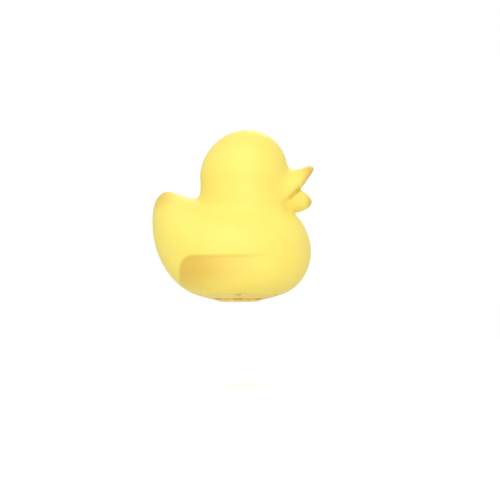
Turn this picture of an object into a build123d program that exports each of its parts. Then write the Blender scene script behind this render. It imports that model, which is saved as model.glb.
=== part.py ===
from build123d import *
from math import cos, pi, sin, sqrt
import os

# A duck-shaped floating chlorine dispenser for 3 inch pool tablets.
# Millimetres. +Z is up and +X points towards the bill. The origin is on the axis of the round
# base, in the plane that the duck rests on. The XZ plane is the duck's plane of symmetry.
#
# The duck is one hollow blow-moulded hull. A round well is screwed into its underside against a
# gasket, so that the hull stays dry and floats. A cartridge of cap, basket and three tablets
# goes up into the well and locks with three helical lugs. Water comes in through vents in the
# cap, which a flow ring under the cap opens and closes, and the air leaves by a rubber elbow to the bill.

# ---------------------------------------------------------------- driving dimensions
WALL = 3.0  # hull wall
GAP = 0.3  # running gap between pieces that move past each other

# Duck, side view: closed outline of body and tail, as (x, z)
BODY_SIDE = [
    (0, 0), (46, 6), (72, 18.3), (87.3, 38), (93.2, 62), (88, 90), (72, 113), (35, 128), (-10, 131),
    (-53, 131), (-75, 137.5), (-93, 141), (-104, 133), (-110, 112), (-109, 84), (-98, 50),
    (-74, 20), (-42, 4.5),
]  # fmt: skip
BODY_HALF_WIDTH = 80.0
BODY_WIDEST_X = 2.0
BODY_STATIONS = 18

HEAD_X, HEAD_Z = 7.8, 160.0
HEAD_RADII = (57.0, 51.0, 60.6)
NECK_FOOT_Z = 95.0

UPPER_BILL_SIDE = [
    (38, 167), (67, 169.2), (82, 171.6), (89, 174.3), (94.5, 174), (97, 170.5), (94.8, 165.5),
    (88.4, 156.2), (81.2, 144.8), (62, 124.5), (38, 124.5),
]  # fmt: skip
LOWER_BILL_SIDE = [
    (38, 150), (70, 150), (81.2, 144.5), (93, 133), (95, 128), (91, 120.5), (82.5, 116.4), (70, 113),
    (38, 112),
]  # fmt: skip
UPPER_BILL_HALF_WIDTH = 29.0
LOWER_BILL_HALF_WIDTH = 22.5
BILL_ROOT_X = 42.0
MOUTH_Z = 143.0
MOUTH_DEPTH, MOUTH_R = 24.0, 11.5
THROAT_X = 62.5  # outside face of the hull wall at the back of the mouth
THROAT_LAND_R = 12.0  # flat round patch of that wall, inside

# Round base
DOME_RADII = (105.0, 60.0)  # ellipse that the underside follows, radius and height
SEAT_R = 64.5  # round seat moulded on the hull's underside
SEAT_FLARE = 3.5
SEAT_TOP_Z = 34.0
FLANGE_R = 62.3
LAND_Z = 17.0  # face of the hull that the gasket seals on
OPENING_R = 53.0
GASKET_T = 1.5
SCREW_COUNT = 6
SCREW_CIRCLE_R = 57.0
SCREW_START = 30.0
SCREW_R = 1.9
SCREW_TOP_Z = 28.0
SCREW_HEAD_R, SCREW_HEAD_Z = 3.6, (11.6, 13.8)
BOSS_R, BOSS_H = 4.0, 16.0

# Well, the dry wall round the tablets
WELL_R = 44.5  # bore
WELL_WALL = 3.0
WELL_TOP_Z = 109.0
FLANGE_TOP_Z = LAND_Z - GASKET_T
CAP_SEAT_R, CAP_SEAT_Z = 49.4, 12.0  # counterbore that the cap's rim closes

# Lugs that lock the cap: three helical ridges on each side
LUG_COUNT = 3
LUG_LEAD = 36.0  # drop of the cap in one turn
LUG_ARC = 45.0
LUG_H = 3.0
LUG_REACH = 1.3
MALE_LUG_Z = 19.5
LUG_AXIAL_GAP = 0.3

# Cap and flow ring
COLLAR_R, COLLAR_WALL, COLLAR_TOP_Z = 42.9, 1.9, 27.0
CAP_RIM_R, CAP_RIM_TOP_Z = 49.0, 10.2
CAP_FLOOR_Z = (8.0, 11.2)
SHUTTER_POCKET_R = 43.0
O_RING_R, O_RING_SECTION_R = 46.8, 1.1
O_RING_GROOVE_W, O_RING_GROOVE_Z = 2.6, 9.7
VENT_COUNT = 8
VENT_R = (31.5, 40.3)
VENT_ARC = 18.0
HUB_R, HUB_FLANGE_R, HUB_FLANGE_TOP_Z = 27.0, 30.5, 5.0
FOOT_R = 24.0  # flat face that the duck rests on
GRIP_R, GRIP_BAR, GRIP_DEPTH = 20.0, 14.0, 5.5
HUB_SCREW_X = 12.0
HUB_BOSS_R = 4.5
HUB_SCREW_TOP_Z = 14.0
HUB_SCREW_HEAD_Z = (1.2, 3.4)
DIAL_DOTS, DIAL_DOT_R, DIAL_DOT_SHRINK = 3, 1.2, 0.22  # each dot is smaller than the last
DIAL_DOT_PLACE, DIAL_DOT_H = (46.0, 5.0), 3.4  # radius and height of a dot's middle
DIMPLE_PLACE, DIMPLE_R = (36.0, 1.6), 4.4  # finger dimples under the flow ring

# Basket and tablets
BASKET_R, BASKET_WALL = 40.5, 1.8
BASKET_FLOOR_Z = (15.5, 17.5)
BASKET_TOP_Z = 100.0
BASKET_SLOT_W, BASKET_SLOT_H = 7.0, 19.0
BASKET_DRAINS, BASKET_DRAIN_W, BASKET_DRAIN_R = 16, 3.4, (13.0, 36.0)
BASKET_COLUMNS, BASKET_ROWS_Z = 12, (33.0, 57.5, 82.0)
BASKET_FEET, BASKET_FOOT_W, BASKET_FOOT_ARC = 4, 5.0, 12.0
TABLET_R, TABLET_H = 37.5, 25.0
TABLET_GAP = 0.2

# Ballast
BALLAST_R = (48.0, 52.2)
BALLAST_H = 30.0
RETAINER_R = (47.0, 50.5)
RETAINER_H = 1.6
RETAINER_GAP = 16.0

# Air line from the top of the well to the bill: a moulded rubber elbow on two nipples
NIPPLE_X = 20.0
NIPPLE_R = (2.6, 3.8)
NIPPLE_H = 13.0
ELBOW_R = (3.9, 5.5)
ELBOW_BEND_R = 20.0
ELBOW_END_X = 54.5
FITTING_R, FITTING_FLANGE_R = 6.0, 9.0
FITTING_INNER_X = 42.0
NUT_AF, NUT_T = 17.0, 3.0
SEAL_T = 1.0
CLIP_R, CLIP_W = 6.4, 5.0
CLIP_EAR, CLIP_EAR_W = 4.0, 3.4


# ---------------------------------------------------------------- helpers
def tube(outer_r, inner_r, z0, z1):
    return drum(outer_r, z0, z1) - drum(inner_r, z0 - 1, z1 + 1)


def drum(radius, z0, z1):
    return Pos(0, 0, z0) * Cylinder(radius, z1 - z0, align=(Align.CENTER, Align.CENTER, Align.MIN))


def rod_x(radius, x0, x1, z):
    return Pos(x0, 0, z) * Rot(0, 90, 0) * drum(radius, 0, x1 - x0)


def drum_at(x, radius, z0, z1):
    return Pos(x, 0, 0) * drum(radius, z0, z1)


def revolved(points):
    """Solid of revolution about Z from a closed outline of (radius, z) points."""
    return revolve(Plane.XZ * make_face(Polyline(*points, close=True)), Axis.Z)


def around(count, piece, start=0.0):
    """Copies of a piece, evenly spaced about Z."""
    return [Rot(0, 0, start + 360 * i / count) * piece for i in range(count)]


def dome_z(radius):
    a, b = DOME_RADII
    return b * (1 - sqrt(1 - (radius / a) ** 2))


def dome_points(r0, r1, lift=0.0, count=6):
    """Points on the underside's dome from radius r0 to r1, raised by lift."""
    radii = [r0 + (r1 - r0) * i / count for i in range(count + 1)]
    return [(r, dome_z(r) + lift) for r in radii]


def heights_at(outline, x):
    """Lowest and highest z of a side outline at x."""
    cut = outline & Line((x, -50), (x, 300))
    z = [v.Y for v in cut.vertices()]
    return min(z), max(z)


def arc_slot(r0, r1, arc, z0, z1):
    """Ring sector centred on +X, from r0 to r1 and arc degrees wide, with rounded corners."""
    half = arc / 2
    sector = make_face(
        [
            CenterArc((0, 0), r1, -half, arc),
            Line(Vector(r1, 0).rotate(Axis.Z, half), Vector(r0, 0).rotate(Axis.Z, half)),
            CenterArc((0, 0), r0, -half, arc),
            Line(Vector(r0, 0).rotate(Axis.Z, -half), Vector(r1, 0).rotate(Axis.Z, -half)),
        ]
    )
    sector = fillet(sector.vertices(), 2.0)
    return Pos(0, 0, z0) * extrude(sector, z1 - z0)


# ---------------------------------------------------------------- duck hull
def body_ring(x, low, high, half_width, tail):
    """Cross-section of the body at x: flat-bottomed, and narrower at the top, more so at the tail."""
    middle, half_height = (low + high) / 2, (high - low) / 2
    points = []
    steps = 24
    for i in range(steps):
        angle = 2 * pi * i / steps
        side, up = cos(angle), sin(angle)
        power = 2 / 3.3 if up < 0 else 2 / 2.1
        width = half_width * (1 - (0.10 + 0.35 * tail) * max(up, 0) ** 1.5)
        y = width * abs(side) ** power * (1 if side > 0 else -1)
        z = half_height * abs(up) ** power * (1 if up > 0 else -1)
        points.append((x, y, middle + z))
    return Wire([Spline(*points, periodic=True)])


def body(inset):
    """Body and tail, or the same shape shrunk by inset on every side."""
    outline = make_face(Spline(*BODY_SIDE, periodic=True))
    if inset:
        outline = offset(outline, -inset)
    back, front = outline.bounding_box().min.X, outline.bounding_box().max.X
    rings = []
    for i in range(1, BODY_STATIONS):
        x = (back + front) / 2 - (front - back) / 2 * cos(pi * i / BODY_STATIONS)
        low, high = heights_at(outline, x)
        end, power = (back, 1.9) if x < BODY_WIDEST_X else (front, 2.3)
        along = abs((x - BODY_WIDEST_X) / (end - BODY_WIDEST_X))
        width = (BODY_HALF_WIDTH - inset) * (1 - along**power) ** (1 / power)
        tail = along**3 if x < BODY_WIDEST_X else 0
        rings.append(body_ring(x, low, high, width, tail))
    tip_back = Vertex(back, 0, sum(heights_at(outline, back + 0.02)) / 2)
    tip_front = Vertex(front, 0, sum(heights_at(outline, front - 0.02)) / 2)
    return Solid.make_loft([tip_back, *rings, tip_front])


def head(inset):
    """Egg-shaped crown on an upright oval neck."""
    a, b, c = (r - inset for r in HEAD_RADII)
    crown = scale(Sphere(1), by=(a, b, c)) & Pos(0, 0, c) * Box(4 * a, 4 * b, 2 * c)
    neck = extrude(Ellipse(a, b), NECK_FOOT_Z - HEAD_Z)
    return Pos(HEAD_X, 0, HEAD_Z) * (crown + neck)


def bill_ring(x, low, high, half_width, rim_share):
    """Cross-section of a bill at x, widest at rim_share of its height."""
    rim = low + rim_share * (high - low)
    points = []
    steps = 16
    for i in range(steps):
        angle = 2 * pi * i / steps
        reach = high - rim if sin(angle) > 0 else rim - low
        points.append((x, half_width * cos(angle), rim + reach * sin(angle)))
    return Wire([Spline(*points, periodic=True)])


def bill(side, half_width, rim_share):
    """One half of the bill: oval in plan, and as high at each x as its side outline."""
    outline = make_face(Polyline(*side, close=True))
    tip = outline.bounding_box().max.X
    rings = []
    steps = 9
    for i in range(steps):
        share = sin(pi / 2 * i / steps)
        x = BILL_ROOT_X + (tip - BILL_ROOT_X) * share
        low, high = heights_at(outline, x)
        rings.append(bill_ring(x, low, high, half_width * sqrt(1 - share**2.6), rim_share))
    end = Vertex(tip, 0, sum(heights_at(outline, tip - 0.02)) / 2)
    return Solid.make_loft([*rings, end])


def mouth():
    """Hollow between the two halves of the bill, flat at the back where the air fitting goes."""
    quarter = Ellipse(MOUTH_DEPTH, MOUTH_R)
    quarter &= Pos(MOUTH_DEPTH / 2, MOUTH_R / 2) * Rectangle(MOUTH_DEPTH, MOUTH_R)
    return Pos(THROAT_X, 0, MOUTH_Z) * revolve(quarter, Axis.X)


def hull_seat():
    """Round seat on the underside, which gives the flange a level circle to close."""
    edge_z = dome_z(SEAT_R)
    outer = SEAT_R + SEAT_FLARE
    edge = [(outer - 1, edge_z + 3.2), (outer, edge_z + 8), (outer, SEAT_TOP_Z)]
    return revolved([*dome_points(0, SEAT_R), *edge, (0, SEAT_TOP_Z)])


def duck_hull():
    outside = body(0) + head(0) + hull_seat()
    outside += bill(UPPER_BILL_SIDE, UPPER_BILL_HALF_WIDTH, 0.3)
    outside += bill(LOWER_BILL_SIDE, LOWER_BILL_HALF_WIDTH, 0.7)
    outside -= mouth()
    void = body(WALL) + head(WALL)
    void -= rod_x(THROAT_LAND_R, THROAT_X - WALL, THROAT_X + 10, MOUTH_Z)
    void -= drum(SEAT_R + 6, -5, LAND_Z + WALL)
    void -= around(SCREW_COUNT, drum_at(SCREW_CIRCLE_R, BOSS_R, LAND_Z, LAND_Z + BOSS_H), SCREW_START)
    hull = outside - void
    hull -= drum(FLANGE_R + 0.5, -5, LAND_Z)
    hull -= drum(OPENING_R, -5, LAND_Z + WALL + 1)
    pilot = drum_at(SCREW_CIRCLE_R, SCREW_R + 0.1, LAND_Z - 1, LAND_Z + BOSS_H - WALL)
    hull -= around(SCREW_COUNT, pilot, SCREW_START)
    hull -= rod_x(FITTING_R + 0.2, THROAT_X - 10, THROAT_X + 1, MOUTH_Z)
    return hull


# ---------------------------------------------------------------- well and its fixings
def lug(root_r, crest_r, z):
    """Helical ridge centred on +X that stands out of a wall at root_r, with its lower end at z."""
    rise = LUG_LEAD * LUG_ARC / 360
    path = Helix(LUG_LEAD, rise, root_r)
    inside_wall = root_r + (0.4 if crest_r < root_r else -0.4)
    half = LUG_H / 2
    corners = [(inside_wall, -half), (crest_r, 0.5 - half), (crest_r, half - 0.5), (inside_wall, half)]
    section = Plane.XZ * make_face(Polyline(*corners, close=True))
    return Pos(0, 0, z) * Rot(0, 0, -LUG_ARC / 2) * sweep(section, path, is_frenet=True)


def well_cup():
    outer = WELL_R + WELL_WALL
    cup = revolved(
        [
            *dome_points(CAP_SEAT_R, FLANGE_R, count=4),
            (FLANGE_R, FLANGE_TOP_Z),
            (outer, FLANGE_TOP_Z),
            (outer, WELL_TOP_Z - 4),
            (outer - 4, WELL_TOP_Z),
            (0, WELL_TOP_Z),
            (0, WELL_TOP_Z - WELL_WALL),
            (WELL_R - 3, WELL_TOP_Z - WELL_WALL),
            (WELL_R, WELL_TOP_Z - WELL_WALL - 3),
            (WELL_R, CAP_SEAT_Z),
            (CAP_SEAT_R, CAP_SEAT_Z),
        ]
    )
    cup += around(LUG_COUNT, lug(WELL_R, WELL_R - LUG_REACH, MALE_LUG_Z - LUG_H - LUG_AXIAL_GAP))
    cup += drum_at(NIPPLE_X, NIPPLE_R[1], WELL_TOP_Z - 1, WELL_TOP_Z + NIPPLE_H)
    cup += drum_at(NIPPLE_X, NIPPLE_R[1] + 2, WELL_TOP_Z - 1, WELL_TOP_Z + 1.5)
    cup -= drum_at(NIPPLE_X, NIPPLE_R[0], WELL_TOP_Z - 5, WELL_TOP_Z + NIPPLE_H + 1)
    counterbore = drum_at(SCREW_CIRCLE_R, SCREW_HEAD_R + 0.3, 0, SCREW_HEAD_Z[1])
    cup -= around(SCREW_COUNT, counterbore, SCREW_START)
    cup -= around(SCREW_COUNT, drum_at(SCREW_CIRCLE_R, SCREW_R + 0.3, 0, LAND_Z), SCREW_START)
    groove_z = FLANGE_TOP_Z + BALLAST_H + 0.2
    cup -= tube(outer + 1, RETAINER_R[0] - 0.05, groove_z, groove_z + RETAINER_H + 0.1)
    return cup


def well_gasket():
    ring = tube(FLANGE_R - 0.3, OPENING_R + 0.5, FLANGE_TOP_Z, LAND_Z)
    return ring - around(SCREW_COUNT, drum_at(SCREW_CIRCLE_R, SCREW_R + 0.3, 0, LAND_Z + 1), SCREW_START)


def screw(head_r, head_z, shank_r, top_z):
    """Pan-head screw that points up, with a cross in its head."""
    head = drum(head_r, *head_z)
    head = fillet(head.edges().group_by(Axis.Z)[0], 0.8)
    cross_w, cross_l, cross_d = 0.9, 4.2, 1.2
    cross = Box(cross_l, cross_w, 2 * cross_d) + Box(cross_w, cross_l, 2 * cross_d)
    point = Pos(0, 0, top_z - 1) * Cone(shank_r, shank_r / 2, 2)
    return head + drum(shank_r, head_z[1], top_z - 2) + point - Pos(0, 0, head_z[0]) * cross


def well_screws():
    one = Pos(SCREW_CIRCLE_R, 0, 0) * screw(SCREW_HEAD_R, SCREW_HEAD_Z, SCREW_R, SCREW_TOP_Z)
    return Compound(children=around(SCREW_COUNT, one, SCREW_START))


def ballast_ring():
    z0 = FLANGE_TOP_Z + 0.05
    ring = tube(BALLAST_R[1], BALLAST_R[0], z0, z0 + BALLAST_H)
    return chamfer(ring.edges(), 0.6)


def ballast_retainer():
    """Spring ring with a gap, snapped into a groove round the well above the ballast."""
    z0 = FLANGE_TOP_Z + BALLAST_H + 0.25
    ring = tube(RETAINER_R[1], RETAINER_R[0], z0, z0 + RETAINER_H)
    return ring - Pos(-RETAINER_R[1], 0, z0) * Box(14, RETAINER_GAP, 10)


# ---------------------------------------------------------------- air line
def vent_elbow():
    bend_z = MOUTH_Z - ELBOW_BEND_R
    bend_x = NIPPLE_X + ELBOW_BEND_R
    ring = Circle(ELBOW_R[1]) - Circle(ELBOW_R[0])
    upright = Pos(NIPPLE_X, 0, 0) * tube(ELBOW_R[1], ELBOW_R[0], WELL_TOP_Z + 2, bend_z)
    elbow = revolve(Pos(NIPPLE_X, 0, bend_z) * ring, Axis((bend_x, 0, bend_z), (0, 1, 0)), 90)
    level = rod_x(ELBOW_R[1], bend_x, ELBOW_END_X, MOUTH_Z)
    level -= rod_x(ELBOW_R[0], bend_x - 1, ELBOW_END_X + 1, MOUTH_Z)
    return upright + elbow + level


def elbow_clips():
    low_z = WELL_TOP_Z + 4
    low = Pos(NIPPLE_X, 0, 0) * tube(CLIP_R, ELBOW_R[1], low_z, low_z + CLIP_W)
    low += Pos(NIPPLE_X - CLIP_R - 1.2, 0, low_z + CLIP_W / 2) * Box(CLIP_EAR, CLIP_EAR_W, CLIP_W)
    low -= Pos(NIPPLE_X, 0, 0) * drum(ELBOW_R[1], low_z - 1, low_z + CLIP_W + 1)
    high_x = ELBOW_END_X - 3 - CLIP_W
    high = rod_x(CLIP_R, high_x, high_x + CLIP_W, MOUTH_Z)
    high += Pos(high_x + CLIP_W / 2, 0, MOUTH_Z + CLIP_R + 1.2) * Box(CLIP_W, CLIP_EAR_W, CLIP_EAR)
    high -= rod_x(ELBOW_R[1], high_x - 1, high_x + CLIP_W + 1, MOUTH_Z)
    return Compound(children=[low, high])


def throat_fitting():
    """Bulkhead fitting: flange in the mouth, thread through the hull, nipple inside."""
    flange_x = THROAT_X + SEAL_T
    fitting = rod_x(FITTING_FLANGE_R, flange_x, flange_x + 2, MOUTH_Z)
    fitting += rod_x(FITTING_R, THROAT_X - WALL - NUT_T - 1, flange_x, MOUTH_Z)
    fitting += rod_x(NIPPLE_R[1], FITTING_INNER_X, THROAT_X - WALL - NUT_T - 1, MOUTH_Z)
    return fitting - rod_x(NIPPLE_R[0], FITTING_INNER_X - 1, flange_x + 3, MOUTH_Z)


def throat_seal():
    ring = rod_x(FITTING_FLANGE_R, THROAT_X, THROAT_X + SEAL_T, MOUTH_Z)
    return ring - rod_x(FITTING_R + 0.1, THROAT_X - 1, THROAT_X + SEAL_T + 1, MOUTH_Z)


def throat_nut():
    x1 = THROAT_X - WALL
    hexagon = extrude(RegularPolygon(NUT_AF / 2, 6, major_radius=False), NUT_T)
    nut = Pos(x1 - NUT_T, 0, MOUTH_Z) * Rot(0, 90, 0) * hexagon
    return nut - rod_x(FITTING_R + 0.1, x1 - NUT_T - 1, x1 + 1, MOUTH_Z)


# ---------------------------------------------------------------- cap, hub and flow ring
def base_cap():
    cap = revolved(
        [
            (0, CAP_FLOOR_Z[0]),
            (SHUTTER_POCKET_R, CAP_FLOOR_Z[0]),
            *dome_points(SHUTTER_POCKET_R, CAP_RIM_R, count=3),
            (CAP_RIM_R, CAP_RIM_TOP_Z),
            (COLLAR_R, CAP_RIM_TOP_Z),
            (COLLAR_R, COLLAR_TOP_Z),
            (COLLAR_R - COLLAR_WALL, COLLAR_TOP_Z),
            (COLLAR_R - COLLAR_WALL, CAP_FLOOR_Z[1]),
            (0, CAP_FLOOR_Z[1]),
        ]
    )
    cap += around(LUG_COUNT, lug(COLLAR_R, COLLAR_R + LUG_REACH, MALE_LUG_Z))
    groove = O_RING_GROOVE_W / 2
    cap -= tube(O_RING_R + groove, O_RING_R - groove, O_RING_GROOVE_Z, CAP_RIM_TOP_Z + 1)
    cap -= around(VENT_COUNT, arc_slot(*VENT_R, VENT_ARC, 5, 15))
    for side in (-1, 1):
        cap += drum_at(side * HUB_SCREW_X, HUB_BOSS_R, CAP_FLOOR_Z[1] - 1, BASKET_FLOOR_Z[0] - 0.4)
        cap -= drum_at(side * HUB_SCREW_X, SCREW_R + 0.1, CAP_FLOOR_Z[0] - 1, HUB_SCREW_TOP_Z + 0.3)
    return cap - dial_dots()


def dial_dots():
    """Row of shrinking dots beside the flow ring, from open to closed."""
    radius, z = DIAL_DOT_PLACE
    step = 180 / VENT_COUNT / (DIAL_DOTS - 1)
    dots = []
    for i in range(DIAL_DOTS):
        dot = Cylinder(DIAL_DOT_R * (1 - DIAL_DOT_SHRINK * i), DIAL_DOT_H)
        dots.append(Rot(0, 0, 90 + step * i) * Pos(radius, 0, z) * dot)
    return dots


def cap_o_ring():
    z = O_RING_GROOVE_Z + O_RING_SECTION_R + 0.05
    return Pos(0, 0, z) * Torus(O_RING_R, O_RING_SECTION_R)


def foot_hub():
    hub = revolved(
        [
            (0, 0),
            (FOOT_R, 0),
            (FOOT_R + 3.5, 1.3),
            (HUB_FLANGE_R, dome_z(HUB_FLANGE_R)),
            (HUB_FLANGE_R, HUB_FLANGE_TOP_Z),
            (HUB_R, HUB_FLANGE_TOP_Z),
            (HUB_R, CAP_FLOOR_Z[0]),
            (0, CAP_FLOOR_Z[0]),
        ]
    )
    grip = drum(GRIP_R, -1, GRIP_DEPTH) - Box(3 * GRIP_R, GRIP_BAR, 40)
    hub -= fillet(grip.edges().filter_by(Axis.Z), 3)
    for side in (-1, 1):
        hub -= drum_at(side * HUB_SCREW_X, SCREW_HEAD_R + 0.3, -1, HUB_SCREW_HEAD_Z[1])
        hub -= drum_at(side * HUB_SCREW_X, SCREW_R + 0.3, -1, CAP_FLOOR_Z[0] + 1)
    return hub


def hub_screws():
    one = screw(SCREW_HEAD_R, HUB_SCREW_HEAD_Z, SCREW_R, HUB_SCREW_TOP_Z)
    return Compound(children=[Pos(-HUB_SCREW_X, 0, 0) * one, Pos(HUB_SCREW_X, 0, 0) * one])


def flow_ring():
    """Shutter under the cap's vents. Its lip runs between the hub's flange and the cap."""
    inner, lip = HUB_FLANGE_R + GAP, HUB_R + GAP
    outer = SHUTTER_POCKET_R - GAP
    lip_z = HUB_FLANGE_TOP_Z + 0.2
    top_z = CAP_FLOOR_Z[0] - 0.2
    ring = revolved(
        [(lip, lip_z), (inner, lip_z), *dome_points(inner, outer, count=4), (outer, top_z), (lip, top_z)]
    )
    ring -= around(VENT_COUNT, arc_slot(*VENT_R, VENT_ARC, -1, 15))
    dimple = Pos(DIMPLE_PLACE[0], 0, DIMPLE_PLACE[1]) * Sphere(DIMPLE_R)
    ring -= around(VENT_COUNT, dimple, 180 / VENT_COUNT)
    return ring


# ---------------------------------------------------------------- basket and tablets
def tablet_basket():
    inner = BASKET_R - BASKET_WALL
    basket = tube(BASKET_R, inner, BASKET_FLOOR_Z[0], BASKET_TOP_Z)
    basket += drum(BASKET_R, *BASKET_FLOOR_Z)
    foot_r = BASKET_R - 0.5
    foot_z = (CAP_FLOOR_Z[1] + 0.05, BASKET_FLOOR_Z[0] + 1)
    foot = arc_slot(foot_r - BASKET_FOOT_W, foot_r, BASKET_FOOT_ARC, *foot_z)
    basket += around(BASKET_FEET, foot, 180 / VENT_COUNT)
    slot = Rot(0, 90, 0) * extrude(SlotOverall(BASKET_SLOT_H, BASKET_SLOT_W), BASKET_R + 5)
    for row_z in BASKET_ROWS_Z:
        basket -= around(BASKET_COLUMNS, Pos(0, 0, row_z) * slot, 15)
    inner, outer = BASKET_DRAIN_R
    drain = extrude(Pos((inner + outer) / 2, 0) * SlotOverall(outer - inner, BASKET_DRAIN_W), 20)
    basket -= around(BASKET_DRAINS, Pos(0, 0, BASKET_FLOOR_Z[0] - 2) * drain)
    return basket


def tablet(index):
    z0 = BASKET_FLOOR_Z[1] + 0.1 + index * (TABLET_H + TABLET_GAP)
    puck = drum(TABLET_R, z0, z0 + TABLET_H)
    return fillet(puck.edges(), 1.6)


# ---------------------------------------------------------------- export
PIECES = {
    "duck_hull": duck_hull,
    "well_cup": well_cup,
    "well_gasket": well_gasket,
    "well_screws": well_screws,
    "ballast_ring": ballast_ring,
    "ballast_retainer": ballast_retainer,
    "vent_elbow": vent_elbow,
    "elbow_clips": elbow_clips,
    "throat_fitting": throat_fitting,
    "throat_seal": throat_seal,
    "throat_nut": throat_nut,
    "base_cap": base_cap,
    "cap_o_ring": cap_o_ring,
    "foot_hub": foot_hub,
    "hub_screws": hub_screws,
    "flow_ring": flow_ring,
    "tablet_basket": tablet_basket,
}

os.makedirs("parts", exist_ok=True)
for name, make in PIECES.items():
    export_step(make(), f"parts/{name}.step")
for index, name in enumerate(["tablet_lower", "tablet_middle", "tablet_upper"]):
    export_step(tablet(index), f"parts/{name}.step")
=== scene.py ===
import math

import bmesh
import bpy
import numpy as np
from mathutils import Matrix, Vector


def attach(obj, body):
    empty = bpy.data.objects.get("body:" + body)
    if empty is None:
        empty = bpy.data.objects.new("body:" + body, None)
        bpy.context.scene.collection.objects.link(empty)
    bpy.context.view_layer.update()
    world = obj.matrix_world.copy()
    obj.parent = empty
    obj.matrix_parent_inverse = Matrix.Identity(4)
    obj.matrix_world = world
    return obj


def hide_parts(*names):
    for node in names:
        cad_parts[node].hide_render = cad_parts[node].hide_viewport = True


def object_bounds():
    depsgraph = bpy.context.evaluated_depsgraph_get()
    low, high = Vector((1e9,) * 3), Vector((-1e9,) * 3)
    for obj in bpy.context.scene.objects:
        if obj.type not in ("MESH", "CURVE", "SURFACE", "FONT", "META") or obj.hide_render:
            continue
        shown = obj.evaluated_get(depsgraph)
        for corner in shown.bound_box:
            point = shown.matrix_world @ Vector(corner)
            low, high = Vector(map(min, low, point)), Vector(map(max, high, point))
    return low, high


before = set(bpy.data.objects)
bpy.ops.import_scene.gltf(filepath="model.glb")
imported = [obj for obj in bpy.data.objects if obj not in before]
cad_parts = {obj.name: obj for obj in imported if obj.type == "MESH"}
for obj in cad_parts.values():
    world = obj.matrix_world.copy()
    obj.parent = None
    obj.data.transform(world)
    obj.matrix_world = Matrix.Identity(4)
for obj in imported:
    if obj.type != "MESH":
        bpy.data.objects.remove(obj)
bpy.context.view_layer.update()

MM = 0.001

# ---------------------------------------------------------------- camera
# The duck is seen square from its right, with the middle of the picture at its neck.
FRAME_WIDTH = 0.6432  # width of the scene that the picture spans at the duck
CAMERA_DISTANCE = 3.0
CAMERA_AIM = Vector((0.01505, 0.0, 0.0663))
SENSOR = 36.0

# ---------------------------------------------------------------- stage and light
WORLD_LIGHT = 0.78
WHITE = (1, 1, 1, 1)  # backdrop, lamps' surroundings and the floor's lift
FLOOR_SIZE = 3.0
FLOOR_DROP = 0.112  # room under the duck for its cartridge to come out
FLOOR_LIFT = 0.25  # keeps the floor pale where the lamps are far, and throws no light on the duck
FLOOR_WHITE = (0.8, 0.8, 0.8, 1)
FLOOR_ROUGHNESS = 0.9
LIGHTS_AIM = (0, 0, 0.1)
LIGHTS = (  # name, place, diameter, power
    ("key", (-0.2, -1.6, 1.6), 1.8, 15),
    ("front", (0.15, -2.2, 0.4), 1.4, 9),
    ("back", (0.3, 1.5, 1.4), 1.2, 7),
)

# ---------------------------------------------------------------- skin of the duck
# Sizes are in millimetres, apart from VOXEL. Two numbers given to step() are where it starts and
# where it is complete.
VOXEL = 1.3 * MM
SKIN_FACES = 190_000  # triangles in the duck's skin
EVEN_ROUNDS = 8
EVEN_OUT, EVEN_BACK = 0.5, -0.53
FLANK_Y = 30  # the sides of the body lie further out than this

HEAD_X, HEAD_Z = 7.8, 160.0
HEAD_RADII = (57.0, 51.0)
HEAD_MEAN_RADIUS = 54
CROWN_LEAN, CROWN_POWER = 0.0085, 1.5  # forward lean of the crown

BLEND_SHARE = 0.6
NECK_ROUNDS, BROW_ROUNDS = 160, 90
NECK_SIDE_Y = (12, 32)  # from the middle of the neck to its sides
NECK_WIDTH, NECK_SIDE_WIDTH = 10, 7  # width of the blend, and what the sides add to it
NECK_LOW_Z, NECK_SIDE_LOW_Z = (98, 106), (12, 10)  # its lower end, and how much lower the sides' is
NECK_TOP_Z, NECK_FRONT_X = (162, 150), (62, 52)
BROW_X, BROW_LOW_Z, BROW_TOP_Z = (38, 48), (130, 140), (186, 178)
CHEST_X, CHEST_Z, CHEST_WIDTH = 68, 116, 9
CHEST_SHARE, CHEST_ROUNDS = 0.5, 12

MOUTH_CORNER, MOUTH_FRONT = (65.2, 128.9), (81.2, 144.8)
MOUTH_KEEP_WIDTH, MOUTH_KEEP_ALONG = 4.5, (-0.15, 0.05)  # no blending so near to the mouth
REFINE_MIDDLE, REFINE_REACH, REFINE_ALONG, REFINE_Y = 1, 4, (-0.15, 1.1), 4
LIP_DEPTH, LIP_ROLL, LIP_STEP = 2.4, 7.0, 0.9
LIP_START, LIP_END, LIP_FACING = (-0.12, 0.2), (1.15, 0.95), (0.2, 0.5)
FOLD_WIDTH, FOLD_SHARE, FOLD_ROUNDS = 4.5, 0.6, 10
LINE_WIDTH, LINE_SHARE, LINE_ROUNDS = 2.5, 0.3, 1
LINE_START, LINE_END = (-0.2, 0), (1.1, 1.0)

WING_X, WING_Z, WING_CORNER = (-77.0, 60.0), (0.0, 61.8), 21.0
WING_DEPTH, WING_EDGE = 2.6, 5.0
WING_FRONT_X = (50, 2)  # the recess runs out towards the chest
WING_FOOT_Z, WING_RISE = 12, 1.2  # and towards the underside

# Share of the painted shade colour, and where it fades in: painted shade in the recess under the wing,
# at the tail's tip, at the bill's tips and along the fold of the mouth
# painted shade in the recess under the wing, added to the darkening that the recess's own shape gives
PAINTED_SHADE_WING, PAINTED_SHADE_WING_Z, PAINTED_SHADE_WING_X = 0.9, (6, 40), (40, -70)
# painted shade on the tip of the tail
PAINTED_SHADE_TAIL, PAINTED_SHADE_TAIL_X, PAINTED_SHADE_TAIL_Z = 0.75, (-74, -104), (110, 137)
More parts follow.
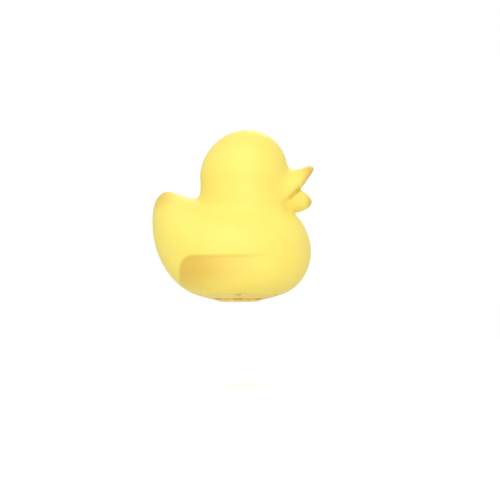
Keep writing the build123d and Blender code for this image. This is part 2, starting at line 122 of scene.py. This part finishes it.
# painted shade on the tips of the upper and lower bill, which are the hull's plain yellow
PAINTED_SHADE_BILL = 0.9
PAINTED_SHADE_UPPER_X, PAINTED_SHADE_UPPER_Z = (75, 94), (140, 147)
PAINTED_SHADE_LOWER_X, PAINTED_SHADE_LOWER_Z = (84, 95), (106, 116)
# painted shade along the fold of the mouth, under the upper bill's rolled edge
PAINTED_SHADE_FOLD, PAINTED_SHADE_FOLD_Y = 0.7, 6
PAINTED_SHADE_FOLD_ABOVE, PAINTED_SHADE_FOLD_BELOW = (6, 0), (-0.9, 0.1)
PAINTED_SHADE_FOLD_START, PAINTED_SHADE_FOLD_END = (-0.1, 0.2), (1.1, 0.95)

# The wall's inner side faces these points, one in the head and one in the body
INNER_HEAD, INNER_BODY = (HEAD_X, 0, 155), (-5, 0, 65)
INNER_SPLIT_Z, INNER_FRONT_X = 125, 58
INNER_CUT, INNER_PULL = 0.85, 10  # share of its faces to drop, and how strongly they go first

# ---------------------------------------------------------------- colours
SKIN_YELLOW = (0.94, 0.765, 0.145)
SKIN_SHADE = (0.925, 0.735, 0.13)
# painted shade: the darker, more orange colour put on the wing's recess, tail tip, bill tips and mouth
# fold
SKIN_PAINTED_SHADE = (0.73, 0.475, 0.065)
SKIN_GLOW, SKIN_GLOW_RADIUS, SKIN_GLOW_SCALE = 0.25, (1.0, 0.55, 0.15), 0.004
PARTING_LINE = (0.0010, 0.0002)  # where it starts and is complete, in metres from the middle
SKIN_GRAIN, SKIN_BUMP = 0.08, 0.00018
TABLET_WHITE, TABLET_SHADE = (0.86, 0.86, 0.82), (0.78, 0.79, 0.76)


# ---------------------------------------------------------------- materials
class Nodes:
    """Short names for building one node material."""

    def __init__(self, name):
        self.material = bpy.data.materials.new(name)
        self.material.use_nodes = True
        self.tree = self.material.node_tree
        self.shader = self.tree.nodes["Principled BSDF"]
        coordinates = self.tree.nodes.new("ShaderNodeTexCoord")
        self.place = coordinates.outputs["Object"]

    def node(self, kind, **settings):
        made = self.tree.nodes.new(kind)
        for key, value in settings.items():
            setattr(made, key, value)
        return made

    def link(self, source, target):
        self.tree.links.new(source, target)

    def noise(self, scale, detail=3.0, roughness=0.5, stretch=(1, 1, 1)):
        mapping = self.node("ShaderNodeMapping")
        mapping.inputs["Scale"].default_value = stretch
        self.link(self.place, mapping.inputs["Vector"])
        made = self.node("ShaderNodeTexNoise")
        made.inputs["Scale"].default_value = scale
        made.inputs["Detail"].default_value = detail
        made.inputs["Roughness"].default_value = roughness
        self.link(mapping.outputs["Vector"], made.inputs["Vector"])
        return made.outputs["Fac"]

    def ramp(self, source, low, high, start=0.0, end=1.0):
        """Maps source from low..high to start..end."""
        made = self.node("ShaderNodeMapRange", interpolation_type="SMOOTHSTEP")
        for key, value in (("From Min", low), ("From Max", high), ("To Min", start), ("To Max", end)):
            made.inputs[key].default_value = value
        self.link(source, made.inputs["Value"])
        return made.outputs["Result"]

    def mix(self, factor, first, second):
        """Blend of two colours. first and second are colours or sockets."""
        made = self.node("ShaderNodeMix", data_type="RGBA")
        factor_in, a, b = made.inputs[0], made.inputs[6], made.inputs[7]
        for socket, value in ((factor_in, factor), (a, first), (b, second)):
            if isinstance(value, bpy.types.NodeSocket):
                self.link(value, socket)
            elif socket is factor_in:
                socket.default_value = value
            else:
                socket.default_value = (*value, 1.0)
        return made.outputs[2]

    def math(self, operation, first, second):
        made = self.node("ShaderNodeMath", operation=operation)
        for socket, value in zip(made.inputs, (first, second)):
            if isinstance(value, bpy.types.NodeSocket):
                self.link(value, socket)
            else:
                socket.default_value = value
        return made.outputs[0]

    def bump(self, height, distance, strength=1.0):
        made = self.node("ShaderNodeBump")
        made.inputs["Distance"].default_value = distance
        made.inputs["Strength"].default_value = strength
        self.link(height, made.inputs["Height"])
        self.link(made.outputs["Normal"], self.shader.inputs["Normal"])

    def axis(self, name):
        split = self.node("ShaderNodeSeparateXYZ")
        self.link(self.place, split.inputs["Vector"])
        return split.outputs[name]


def paint(node_name, material):
    """Gives every material slot of a carried-over CAD node this material."""
    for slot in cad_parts[node_name].material_slots:
        slot.material = material


def duck_vinyl():
    """Soft satin vinyl with fine grain, a parting line, and painted shade: a deeper colour where the
    mesh is marked.
    """
    m = Nodes("duck_vinyl")
    cloud = m.ramp(m.noise(14, 4), 0.35, 0.68)
    base = m.mix(cloud, SKIN_YELLOW, SKIN_SHADE)
    # painted shade: the skin turns darker and more orange where the mesh's marks say
    depth = m.node("ShaderNodeAttribute", attribute_name="painted_shade")
    m.link(m.mix(depth.outputs["Fac"], base, SKIN_PAINTED_SHADE), m.shader.inputs["Base Color"])
    m.link(m.ramp(m.noise(55, 5, 0.6), 0.3, 0.7, 0.42, 0.52), m.shader.inputs["Roughness"])
    m.shader.inputs["Subsurface Weight"].default_value = SKIN_GLOW
    m.shader.inputs["Subsurface Radius"].default_value = SKIN_GLOW_RADIUS
    m.shader.inputs["Subsurface Scale"].default_value = SKIN_GLOW_SCALE
    off_middle = m.math("ABSOLUTE", m.axis("Y"), 0)
    parting_line = m.ramp(off_middle, *PARTING_LINE)
    grain = m.math("MULTIPLY", m.noise(900, 2), SKIN_GRAIN)
    m.bump(m.math("ADD", grain, parting_line), SKIN_BUMP)
    return m.material


def moulded(name, color, shade, roughness=0.42, grain=700.0):
    """Injection-moulded plastic with a slight colour drift, uneven gloss and a fine texture."""
    m = Nodes(name)
    drift = m.ramp(m.noise(18, 3), 0.35, 0.65)
    m.link(m.mix(drift, color, shade), m.shader.inputs["Base Color"])
    gloss = m.ramp(m.noise(70, 5, 0.65), 0.3, 0.7, roughness - 0.06, roughness + 0.08)
    m.link(gloss, m.shader.inputs["Roughness"])
    m.bump(m.noise(grain, 2), 0.00005, 0.4)
    return m.material


def rubber(name, color, shade):
    m = Nodes(name)
    m.link(m.mix(m.ramp(m.noise(40, 4), 0.35, 0.65), color, shade), m.shader.inputs["Base Color"])
    m.link(m.ramp(m.noise(120, 4), 0.3, 0.7, 0.55, 0.75), m.shader.inputs["Roughness"])
    m.bump(m.noise(1500, 2), 0.00004, 0.5)
    return m.material


def steel(name, color, roughness, zinc=False):
    m = Nodes(name)
    m.shader.inputs["Metallic"].default_value = 1.0
    shade = tuple(0.72 * c for c in color)
    if zinc:
        flakes = m.node("ShaderNodeTexVoronoi")
        flakes.inputs["Scale"].default_value = 220
        m.link(m.place, flakes.inputs["Vector"])
        spangle = m.ramp(flakes.outputs["Distance"], 0.1, 0.8)
    else:
        spangle = m.noise(60, 4)
    m.link(m.mix(spangle, color, shade), m.shader.inputs["Base Color"])
    lines = m.noise(400, 3, 0.5, (1, 1, 12))
    m.link(m.ramp(lines, 0.3, 0.7, roughness - 0.08, roughness + 0.12), m.shader.inputs["Roughness"])
    m.bump(lines, 0.00002, 0.4)
    return m.material


def pressed_tablet():
    m = Nodes("pressed_tablet")
    powder = m.ramp(m.noise(60, 6, 0.7), 0.3, 0.7)
    m.link(m.mix(powder, TABLET_WHITE, TABLET_SHADE), m.shader.inputs["Base Color"])
    m.link(m.ramp(m.noise(300, 4), 0.3, 0.7, 0.8, 0.95), m.shader.inputs["Roughness"])
    m.bump(m.noise(900, 5, 0.7), 0.0002, 0.6)
    return m.material


# ---------------------------------------------------------------- duck skin
def step(value, low, high):
    """0 below low, 1 above high, smooth between. low may be the larger."""
    t = np.clip((value - low) / (high - low), 0, 1)
    return t * t * (3 - 2 * t)


def hill(value, width):
    return np.exp(-((value / width) ** 2))


def smooth(points, edges, weight, rounds):
    """Moves each point towards the mean of its neighbours, by its weight, this many times."""
    count = len(points)
    a, b = edges[:, 0], edges[:, 1]
    degree = np.bincount(edges.ravel(), minlength=count)[:, None]
    for _ in range(rounds):
        total = np.empty_like(points)
        for axis in range(3):
            column = points[:, axis]
            total[:, axis] = np.bincount(a, column[b], count) + np.bincount(b, column[a], count)
        points += (total / degree - points) * weight[:, None]


def even_out(points, edges, rounds):
    """Takes out the remesher's steps without shrinking the shape."""
    every = np.ones(len(points))
    for _ in range(rounds):
        smooth(points, edges, EVEN_OUT * every, 1)
        smooth(points, edges, EVEN_BACK * every, 1)


def read(what, attribute, kind, width):
    values = np.empty(len(what) * width, kind)
    what.foreach_get(attribute, values)
    return values.reshape(-1, width)


def apply_modifiers(made):
    graph = bpy.context.evaluated_depsgraph_get()
    made.data = bpy.data.meshes.new_from_object(made.evaluated_get(graph))
    made.modifiers.clear()


def duck_skin():
    """The hull's mesh again, with the soft blends of a moulded duck where its shapes meet."""
    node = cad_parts["duck_hull"]
    made = bpy.data.objects.new("duck_skin", node.data.copy())
    bpy.context.collection.objects.link(made)
    remesh = made.modifiers.new("remesh", "REMESH")
    remesh.mode = "VOXEL"
    remesh.voxel_size = VOXEL
    apply_modifiers(made)
    mesh = made.data
    points = read(mesh.vertices, "co", np.float64, 3) / MM
    edges = read(mesh.edges, "vertices", np.int64, 2)
    even_out(points, edges, EVEN_ROUNDS)
    x, y, z = points.T
    from_neck = (np.hypot((x - HEAD_X) / HEAD_RADII[0], y / HEAD_RADII[1]) - 1) * HEAD_MEAN_RADIUS
    side = step(np.abs(y), *NECK_SIDE_Y)
    seam = hill(from_neck, NECK_WIDTH + NECK_SIDE_WIDTH * side)
    off_mouth, along_mouth = mouth_line(x, z)
    away = 1 - hill(off_mouth, MOUTH_KEEP_WIDTH) * step(along_mouth, *MOUTH_KEEP_ALONG)
    low, full = (z_mm - lower * side for z_mm, lower in zip(NECK_LOW_Z, NECK_SIDE_LOW_Z))
    neck = seam * step(z, low, full) * step(z, *NECK_TOP_Z) * step(x, *NECK_FRONT_X)
    brow = seam * step(x, *BROW_X) * step(z, *BROW_LOW_Z) * step(z, *BROW_TOP_Z) * away
    smooth(points, edges, BLEND_SHARE * neck, NECK_ROUNDS)
    smooth(points, edges, BLEND_SHARE * brow, BROW_ROUNDS)
    chest = hill(np.hypot(x - CHEST_X, z - CHEST_Z), CHEST_WIDTH) * away
    smooth(points, edges, CHEST_SHARE * chest, CHEST_ROUNDS)
    points[:, 0] += CROWN_LEAN * np.clip(points[:, 2] - HEAD_Z, 0, None) ** CROWN_POWER
    _, depth = wing_recess(points[:, 0], points[:, 2])
    points[:, 1] -= np.sign(points[:, 1]) * depth * (np.abs(points[:, 1]) > FLANK_Y)
    mesh.vertices.foreach_set("co", (points * MM).ravel())
    mesh.update()
    refine_mouth(mesh)
    carve_mouth_line(mesh)
    soften_mouth(mesh)
    thin_skin(made)
    mark_painted_shade(made.data)
    return made


def wing_recess(x, z):
    """Share of the way in across the edge of the recess under the wing, and the recess's depth."""
    (x0, x1), (z0, z1) = WING_X, WING_Z
    over_x = np.abs(x - (x0 + x1) / 2) - (x1 - x0) / 2 + WING_CORNER
    over_z = np.abs(z - (z0 + z1) / 2) - (z1 - z0) / 2 + WING_CORNER
    corner = np.hypot(np.clip(over_x, 0, None), np.clip(over_z, 0, None))
    outside = corner + np.clip(np.maximum(over_x, over_z), None, 0) - WING_CORNER
    edge = step(outside, 0, -WING_EDGE) * step(x, *WING_FRONT_X)
    rise = np.clip((z - WING_FOOT_Z) / (z1 - WING_FOOT_Z), 0, 1) ** WING_RISE
    return edge, WING_DEPTH * edge * rise


def mark_painted_shade(mesh):
    """Marks each point with its share of the painted shade colour: painted shade in the wing's recess,
    at the tail's tip, at the bill's tips and in the mouth's fold.
    """
    points = read(mesh.vertices, "co", np.float64, 3) / MM
    x, y, z = points.T
    edge, _ = wing_recess(x, z)
    # painted shade in the recess under the wing
    wing = PAINTED_SHADE_WING * edge * step(z, *PAINTED_SHADE_WING_Z) * step(x, *PAINTED_SHADE_WING_X) * (np.abs(y) > FLANK_Y)
    # painted shade on the tip of the tail
    tail = PAINTED_SHADE_TAIL * step(x, *PAINTED_SHADE_TAIL_X) * step(z, *PAINTED_SHADE_TAIL_Z)
    # painted shade on the tips of the upper and lower bill
    upper_bill = PAINTED_SHADE_BILL * step(x, *PAINTED_SHADE_UPPER_X) * step(z, *PAINTED_SHADE_UPPER_Z)
    lower_bill = PAINTED_SHADE_BILL * step(x, *PAINTED_SHADE_LOWER_X) * step(z, *PAINTED_SHADE_LOWER_Z)
    off, along = mouth_line(x, z)
    # painted shade along the fold of the mouth
    fold = PAINTED_SHADE_FOLD * step(off, *PAINTED_SHADE_FOLD_ABOVE) * step(off, *PAINTED_SHADE_FOLD_BELOW)
    fold = fold * step(along, *PAINTED_SHADE_FOLD_START) * step(along, *PAINTED_SHADE_FOLD_END)
    bill = np.maximum(np.maximum(upper_bill, lower_bill), fold * (np.abs(y) > PAINTED_SHADE_FOLD_Y))
    marks = mesh.attributes.new("painted_shade", "FLOAT", "POINT")
    marks.data.foreach_set("value", np.maximum(wing, np.maximum(tail, bill)).astype(np.float32))


def mouth_line(x, z):
    """Distance from the line of the mouth, above it positive, and the share of the way along it."""
    corner, front = np.array(MOUTH_CORNER), np.array(MOUTH_FRONT)
    run = front - corner
    length = np.hypot(*run)
    run = run / length
    dx, dz = x - corner[0], z - corner[1]
    return dz * run[0] - dx * run[1], (dx * run[0] + dz * run[1]) / length


def refine_mouth(mesh):
    """Halves the faces near the line of the mouth, so that it can be crisp."""
    grid = bmesh.new()
    grid.from_mesh(mesh)
    close = []
    start, end = REFINE_ALONG
    for edge in grid.edges:
        middle = (edge.verts[0].co + edge.verts[1].co) / (2 * MM)
        off, along = mouth_line(middle.x, middle.z)
        near = abs(off - REFINE_MIDDLE) < REFINE_REACH and start < along < end
        if near and abs(middle.y) > REFINE_Y:
            close.append(edge)
    bmesh.ops.subdivide_edges(grid, edges=close, cuts=1, use_grid_fill=True)
    bmesh.ops.triangulate(grid, faces=[face for face in grid.faces if len(face.verts) > 4])
    grid.to_mesh(mesh)
    grid.free()
    mesh.update()


def carve_mouth_line(mesh):
    """Rolls the upper bill's edge in towards the line of the mouth. The lower bill steps out below."""
    points = read(mesh.vertices, "co", np.float64, 3) / MM
    normals = read(mesh.vertices, "normal", np.float64, 3)
    off, along = mouth_line(points[:, 0], points[:, 2])
    depth = LIP_DEPTH * step(off, LIP_ROLL, 0) * step(off, -LIP_STEP, 0)
    depth *= step(along, *LIP_START) * step(along, *LIP_END)
    depth *= step(np.abs(normals[:, 1]), *LIP_FACING)
    points -= normals * depth[:, None]
    mesh.vertices.foreach_set("co", (points * MM).ravel())
    mesh.update()


def soften_mouth(mesh):
    """Takes the roughness out of the fold where the two halves of the bill part."""
    points = read(mesh.vertices, "co", np.float64, 3) / MM
    edges = read(mesh.edges, "vertices", np.int64, 2)
    x, _, z = points.T
    fold = hill(np.hypot(x - MOUTH_FRONT[0], z - MOUTH_FRONT[1]), FOLD_WIDTH)
    off, along = mouth_line(x, z)
    line = hill(off, LINE_WIDTH) * step(along, *LINE_START) * step(along, *LINE_END)
    smooth(points, edges, FOLD_SHARE * fold, FOLD_ROUNDS)
    smooth(points, edges, LINE_SHARE * line, LINE_ROUNDS)
    mesh.vertices.foreach_set("co", (points * MM).ravel())
    mesh.update()


def thin_skin(made):
    """Brings the skin to SKIN_FACES triangles, dropping first those inside, which can't be seen."""
    mesh = made.data
    points = read(mesh.vertices, "co", np.float64, 3) / MM
    normals = read(mesh.vertices, "normal", np.float64, 3)
    in_head = points[:, 2:] > INNER_SPLIT_Z
    centre = np.where(in_head, np.array([INNER_HEAD]), np.array([INNER_BODY]))
    inner = ((points - centre) * normals).sum(axis=1) < 0
    inner &= points[:, 0] < INNER_FRONT_X
    group = made.vertex_groups.new(name="inner")
    group.add(np.flatnonzero(inner).tolist(), 1.0, "REPLACE")
    thin = made.modifiers.new("thin", "DECIMATE")
    thin.ratio = 1 - INNER_CUT * inner.mean()
    thin.vertex_group = "inner"
    thin.vertex_group_factor = INNER_PULL
    apply_modifiers(made)
    made.vertex_groups.clear()
    made.data.calc_loop_triangles()
    thin = made.modifiers.new("thin", "DECIMATE")
    thin.ratio = min(1, SKIN_FACES / len(made.data.loop_triangles))
    apply_modifiers(made)


skin = duck_skin()
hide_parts("duck_hull")
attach(skin, "duck")
skin.data.materials.clear()
skin.data.materials.append(duck_vinyl())
for polygon in skin.data.polygons:
    polygon.use_smooth = True

base_yellow = moulded("base_yellow", (0.94, 0.75, 0.14), (0.91, 0.71, 0.12))
ring_amber = moulded("ring_amber", (0.88, 0.56, 0.08), (0.84, 0.52, 0.07))
basket_white = moulded("basket_white", (0.84, 0.85, 0.83), (0.78, 0.80, 0.78), 0.5)
fitting_yellow = moulded("fitting_yellow", (0.85, 0.62, 0.10), (0.80, 0.56, 0.09))
seal_black = rubber("seal_black", (0.012, 0.012, 0.013), (0.022, 0.022, 0.023))
elbow_grey = rubber("elbow_grey", (0.42, 0.42, 0.39), (0.36, 0.36, 0.34))
screw_steel = steel("screw_steel", (0.72, 0.72, 0.74), 0.28)
ballast_steel = steel("ballast_steel", (0.55, 0.56, 0.58), 0.42, zinc=True)
tablet_white = pressed_tablet()

PAINTS = {
    base_yellow: ["well_cup", "base_cap", "foot_hub"],
    ring_amber: ["flow_ring"],
    basket_white: ["tablet_basket", "throat_nut"],
    fitting_yellow: ["throat_fitting"],
    seal_black: ["well_gasket", "throat_seal", "cap_o_ring"],
    elbow_grey: ["vent_elbow"],
    screw_steel: ["well_screws", "hub_screws", "elbow_clips", "ballast_retainer"],
    ballast_steel: ["ballast_ring"],
    tablet_white: ["tablet_lower", "tablet_middle", "tablet_upper"],
}
for material, names in PAINTS.items():
    for name in names:
        paint(name, material)


# ---------------------------------------------------------------- stage, light and camera
def plain_floor():
    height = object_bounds()[0][2] - FLOOR_DROP
    bpy.ops.mesh.primitive_plane_add(size=FLOOR_SIZE, location=(0, 0, height))
    floor = bpy.context.object
    floor.name = "floor"
    m = Nodes("floor_white")
    m.shader.inputs["Base Color"].default_value = FLOOR_WHITE
    m.shader.inputs["Roughness"].default_value = FLOOR_ROUGHNESS
    m.shader.inputs["Emission Color"].default_value = WHITE
    seen = m.node("ShaderNodeLightPath").outputs["Is Camera Ray"]
    m.link(m.math("MULTIPLY", seen, FLOOR_LIFT), m.shader.inputs["Emission Strength"])
    floor.data.materials.append(m.material)


def area_light(name, place, size, power):
    data = bpy.data.lights.new(name, "AREA")
    data.shape = "DISK"
    data.size = size
    data.energy = power
    lamp = bpy.data.objects.new(name, data)
    bpy.context.collection.objects.link(lamp)
    lamp.location = place
    lamp.rotation_euler = (Vector(LIGHTS_AIM) - Vector(place)).to_track_quat("-Z", "Y").to_euler()


def camera():
    data = bpy.data.cameras.new("camera")
    data.sensor_width = SENSOR
    data.lens = SENSOR * CAMERA_DISTANCE / FRAME_WIDTH
    data.clip_end = 50
    made = bpy.data.objects.new("camera", data)
    bpy.context.collection.objects.link(made)
    made.location = CAMERA_AIM + Vector((0, -CAMERA_DISTANCE, 0))
    made.rotation_euler = (math.pi / 2, 0, 0)
    bpy.context.scene.camera = made


def studio_world():
    """White backdrop for the camera, and an even, dimmer light for everything else."""
    world = bpy.data.worlds.new("studio")
    world.use_nodes = True
    tree = world.node_tree
    light = tree.nodes["Background"]
    light.inputs["Color"].default_value = WHITE
    light.inputs["Strength"].default_value = WORLD_LIGHT
    backdrop = tree.nodes.new("ShaderNodeBackground")
    backdrop.inputs["Color"].default_value = WHITE
    backdrop.inputs["Strength"].default_value = 1.0
    rays = tree.nodes.new("ShaderNodeLightPath")
    mix = tree.nodes.new("ShaderNodeMixShader")
    tree.links.new(rays.outputs["Is Camera Ray"], mix.inputs["Fac"])
    tree.links.new(light.outputs[0], mix.inputs[1])
    tree.links.new(backdrop.outputs[0], mix.inputs[2])
    tree.links.new(mix.outputs[0], tree.nodes["World Output"].inputs["Surface"])
    bpy.context.scene.world = world


plain_floor()
for light in LIGHTS:
    area_light(*light)
studio_world()
bpy.context.scene.view_settings.view_transform = "Standard"
camera()
